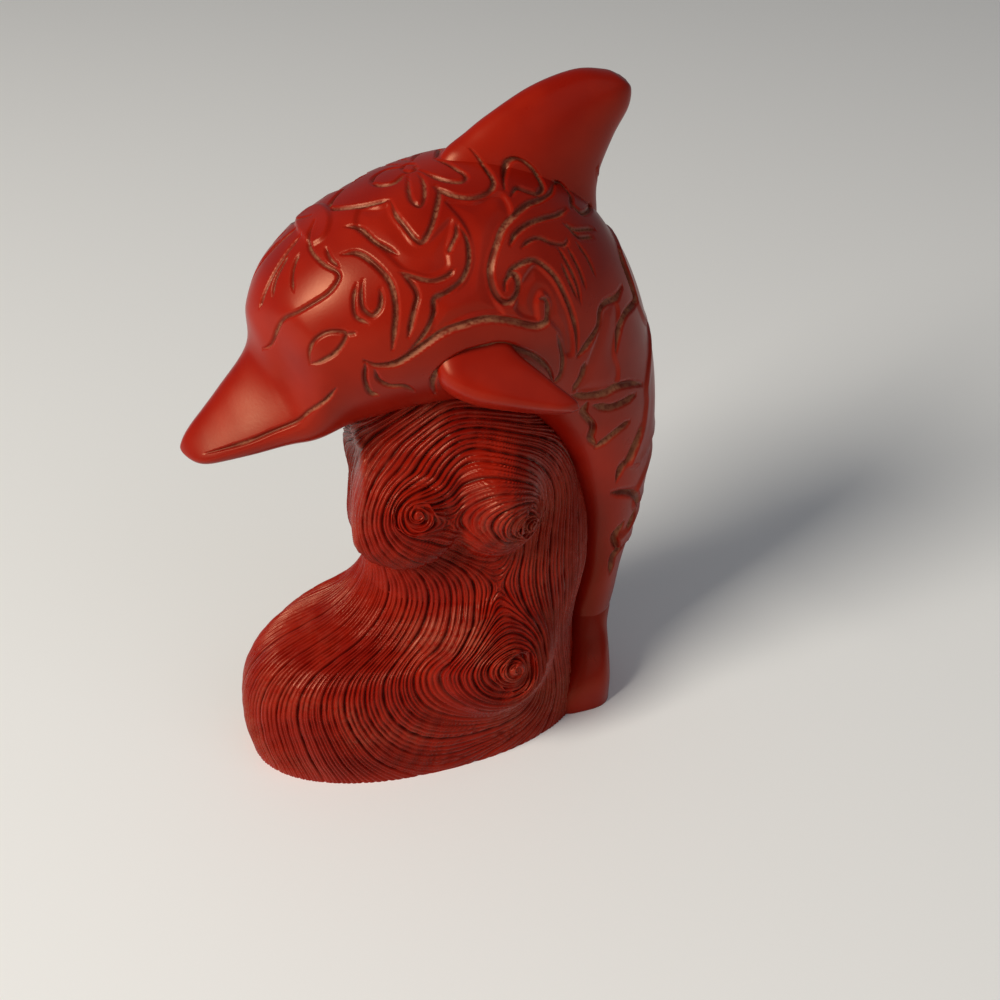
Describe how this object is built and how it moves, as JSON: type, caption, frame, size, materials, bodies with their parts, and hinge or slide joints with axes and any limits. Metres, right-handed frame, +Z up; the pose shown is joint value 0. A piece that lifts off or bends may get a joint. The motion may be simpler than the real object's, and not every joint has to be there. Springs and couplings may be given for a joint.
{
  "type": "dolphin figurine",
  "caption": "Carved red resin dolphin leaping over a combed, curling wave base; a free-standing table ornament with a flat underside.",
  "frame": {"origin": "on the flat underside of the wave, in the figure's middle plane, about 20 mm in front of the wave's rear edge", "axes": "+Z up from the table, -X along the beak, -Y out of the dolphin's left flank"},
  "size_m": [0.0726, 0.044, 0.1047],
  "materials": {
    "carved_resin": "satin lacquered cinnabar red, tan dust in the carved lines",
    "combed_resin": "satin cinnabar red, dark combed grooves",
    "dowel_wood": "bare turned hardwood"
  },
  "bodies": {
    "root": {"dolphin_body": "carved_resin", "dorsal_fin": "carved_resin", "left_flipper": "carved_resin", "right_flipper": "carved_resin", "tail_flukes": "carved_resin", "wave_base": "combed_resin", "left_crest_curl": "combed_resin", "left_shoulder_curl": "combed_resin", "left_foot_curl": "combed_resin", "right_crest_curl": "combed_resin", "right_shoulder_curl": "combed_resin", "right_foot_curl": "combed_resin", "front_belly_dowel": "dowel_wood", "rear_belly_dowel": "dowel_wood", "tail_dowel": "dowel_wood"}
  },
  "joints": []
}
